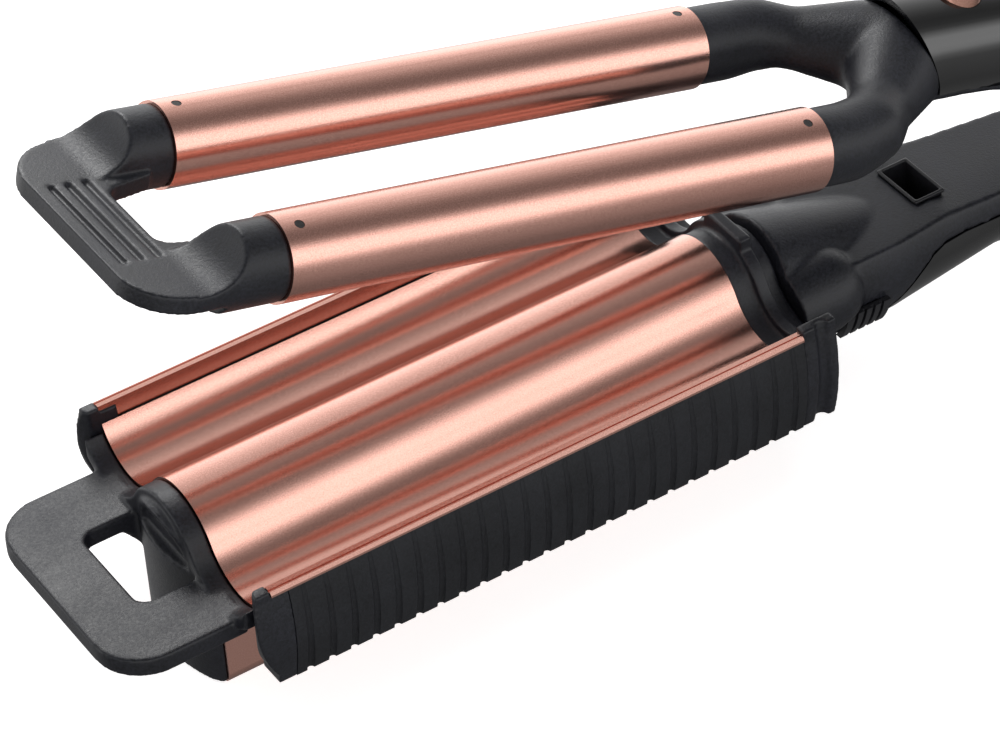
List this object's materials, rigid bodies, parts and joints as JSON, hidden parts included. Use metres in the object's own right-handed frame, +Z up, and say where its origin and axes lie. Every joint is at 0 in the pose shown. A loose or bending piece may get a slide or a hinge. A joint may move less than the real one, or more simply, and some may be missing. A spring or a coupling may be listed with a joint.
{
  "type": "hair waver",
  "caption": "Twin-barrel deep waver, a kind of hair crimper, lying open with its heated wave plate, finger loop and hinged handle.",
  "frame": {"origin": "centre of the plan outline, on the surface the tool stands on", "axes": "+X from the front loop to the cord end of the handle, +Y across the jaws, +Z up"},
  "size_m": [0.3556, 0.0784, 0.1263],
  "materials": {
    "copper": "rose-gold anodised, satin with a fine grain",
    "trim": "rose-gold anodised, polished edge",
    "soft_black": "soft-touch matte",
    "shield_black": "fine textured matte",
    "gloss_black": "piano gloss",
    "dark_plastic": "satin",
    "steel": "plain",
    "black_screw": "blackened",
    "aluminium": "as extruded",
    "ceramic": "ceramic, matte",
    "circuit": "solder mask",
    "bronze": "sintered"
  },
  "bodies": {
    "lower": {"jaw_frame": "soft_black", "shield_near": "shield_black", "shield_far": "shield_black", "shield_tips": "soft_black", "tip_screws": "black_screw", "lip_near": "copper", "lip_far": "copper", "lower_arm": "soft_black", "lower_cover": "gloss_black", "latch_socket": "dark_plastic", "guide_pins": "steel", "hinge_pin": "steel", "hinge_spring": "steel", "lower_screws": "steel"},
    "upper": {"barrel_near": "copper", "barrel_far": "copper", "barrel_cores": "aluminium", "barrel_heaters": "ceramic", "barrel_screws": "black_screw", "tip_bridge": "soft_black", "yoke_arm": "soft_black", "upper_cover": "gloss_black", "button_bezel": "trim", "control_board": "circuit", "upper_screws": "steel", "hinge_bushes": "bronze"},
    "carriage": {"wave_plate": "copper", "keel_shell": "copper", "front_cap": "soft_black", "rear_cap": "soft_black", "plate_heaters": "ceramic", "heater_clamps": "aluminium", "thermal_fuse": "ceramic", "depth_slider": "dark_plastic", "slider_pin": "steel"},
    "button": {"power_button": "dark_plastic"},
    "gland": {"cord_gland": "dark_plastic"}
  },
  "joints": [
    {"name": "jaw_hinge", "type": "hinge", "parent": "lower", "child": "upper", "pos_m": [0.14084, 0, 0.0245], "axis": [0, -1, 0], "range_deg": [0, 14.8], "stiffness_Nm_per_rad": 0.8, "springref_deg": -51.57},
    {"name": "depth_slide", "type": "slide", "parent": "lower", "child": "carriage", "axis": [0, 0, 1], "range_m": [-0.0045, 0]},
    {"name": "button_press", "type": "slide", "parent": "upper", "child": "button", "axis": [-0.2555, 0, -0.9668], "range_m": [0, 0.001], "stiffness_N_per_m": 600, "springref_m": -0.0005},
    {"name": "cord_swivel", "type": "hinge", "parent": "lower", "child": "gland", "pos_m": [0.15517, 0, 0.01272], "axis": [0.9924, 0, -0.1227], "continuous": true}
  ]
}
